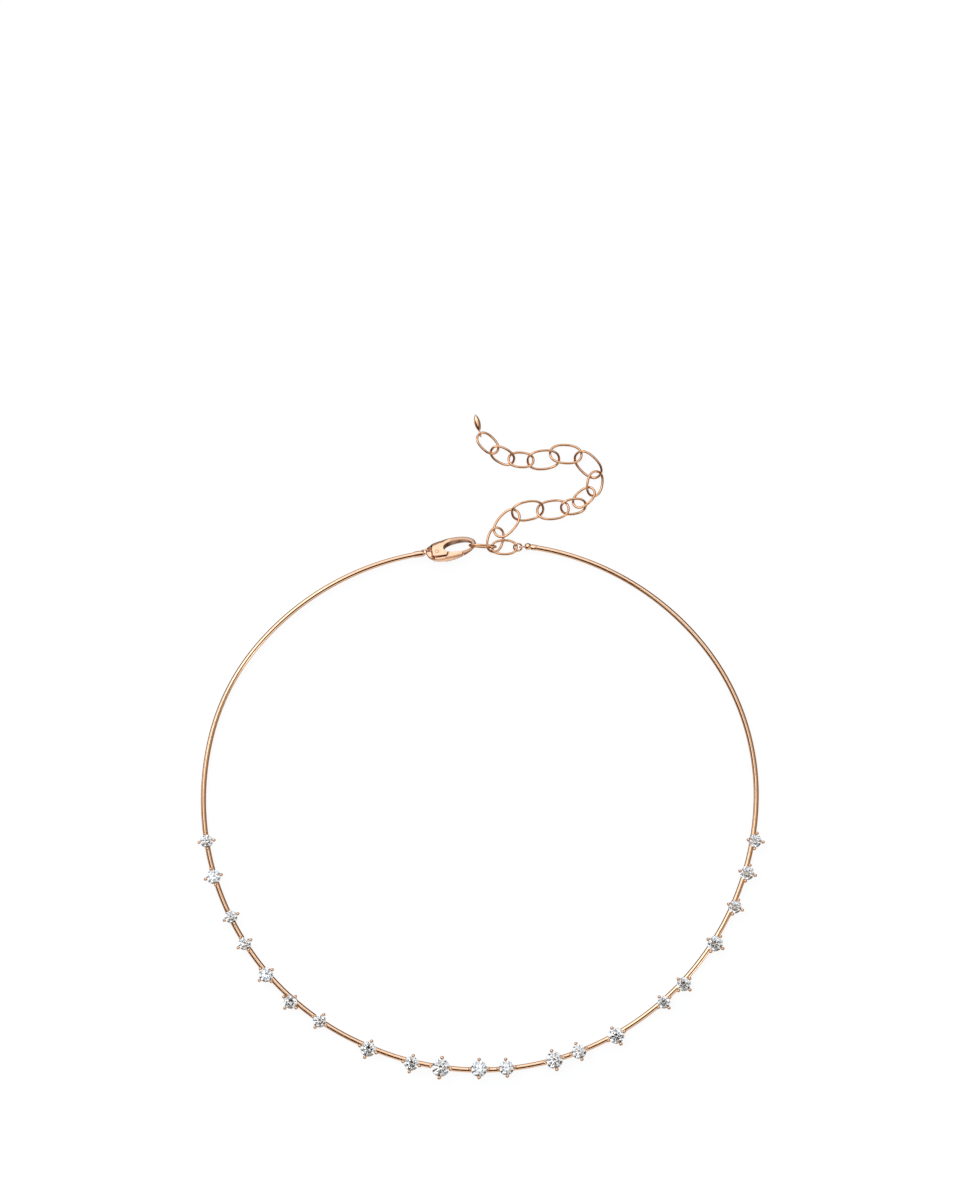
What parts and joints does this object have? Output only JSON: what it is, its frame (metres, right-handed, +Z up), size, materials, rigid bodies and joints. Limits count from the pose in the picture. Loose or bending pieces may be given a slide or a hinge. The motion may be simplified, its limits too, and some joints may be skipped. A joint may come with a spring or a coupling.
{
  "type": "diamond collar necklace",
  "caption": "Slim rose gold collar with spaced claw set round diamonds, an oval trigger clasp and a short extender chain ending in a navette drop.",
  "frame": {"origin": "on the surface that the necklace lies on, under the middle of its bounding box", "axes": "+Z up from the surface, +Y towards the clasp and extender chain at the back of the neck, -Y towards the middle stones at the front, +X along the right hand side as seen from above"},
  "size_m": [0.119, 0.1397, 0.0042],
  "materials": {
    "gold": "polished rose gold",
    "core": "satin rose gold",
    "diamond": "brilliant cut, polished"
  },
  "bodies": {
    "necklace": {"core_wire": "core", "tubes_left": "gold", "tubes_front": "gold", "tubes_right": "gold", "left_cap": "gold", "right_cap": "gold", "setting_01": "gold", "setting_02": "gold", "setting_03": "gold", "setting_04": "gold", "setting_05": "gold", "setting_06": "gold", "setting_07": "gold", "setting_08": "gold", "setting_09": "gold", "setting_10": "gold", "setting_11": "gold", "setting_12": "gold", "setting_13": "gold", "setting_14": "gold", "setting_15": "gold", "setting_16": "gold", "setting_17": "gold", "setting_18": "gold", "setting_19": "gold", "setting_20": "gold", "setting_21": "gold", "stone_01": "diamond", "stone_02": "diamond", "stone_03": "diamond", "stone_04": "diamond", "stone_05": "diamond", "stone_06": "diamond", "stone_07": "diamond", "stone_08": "diamond", "stone_09": "diamond", "stone_10": "diamond", "stone_11": "diamond", "stone_12": "diamond", "stone_13": "diamond", "stone_14": "diamond", "stone_15": "diamond", "stone_16": "diamond", "stone_17": "diamond", "stone_18": "diamond", "stone_19": "diamond", "stone_20": "diamond", "stone_21": "diamond", "jump_ring": "gold", "ring_link": "gold", "clasp_link": "gold", "extender_chain": "gold", "end_drop": "gold", "clasp_body": "gold", "clasp_pin": "core"},
    "lever": {"clasp_lever": "gold"}
  },
  "joints": [
    {"name": "lever_hinge", "type": "hinge", "parent": "necklace", "child": "lever", "pos_m": [-0.00931, 0.04056, 0.00217], "axis": [-0.0807, 0.4625, 0.8829], "range_deg": [0, 20], "stiffness_Nm_per_rad": 0.0005, "springref_deg": -11.46}
  ]
}
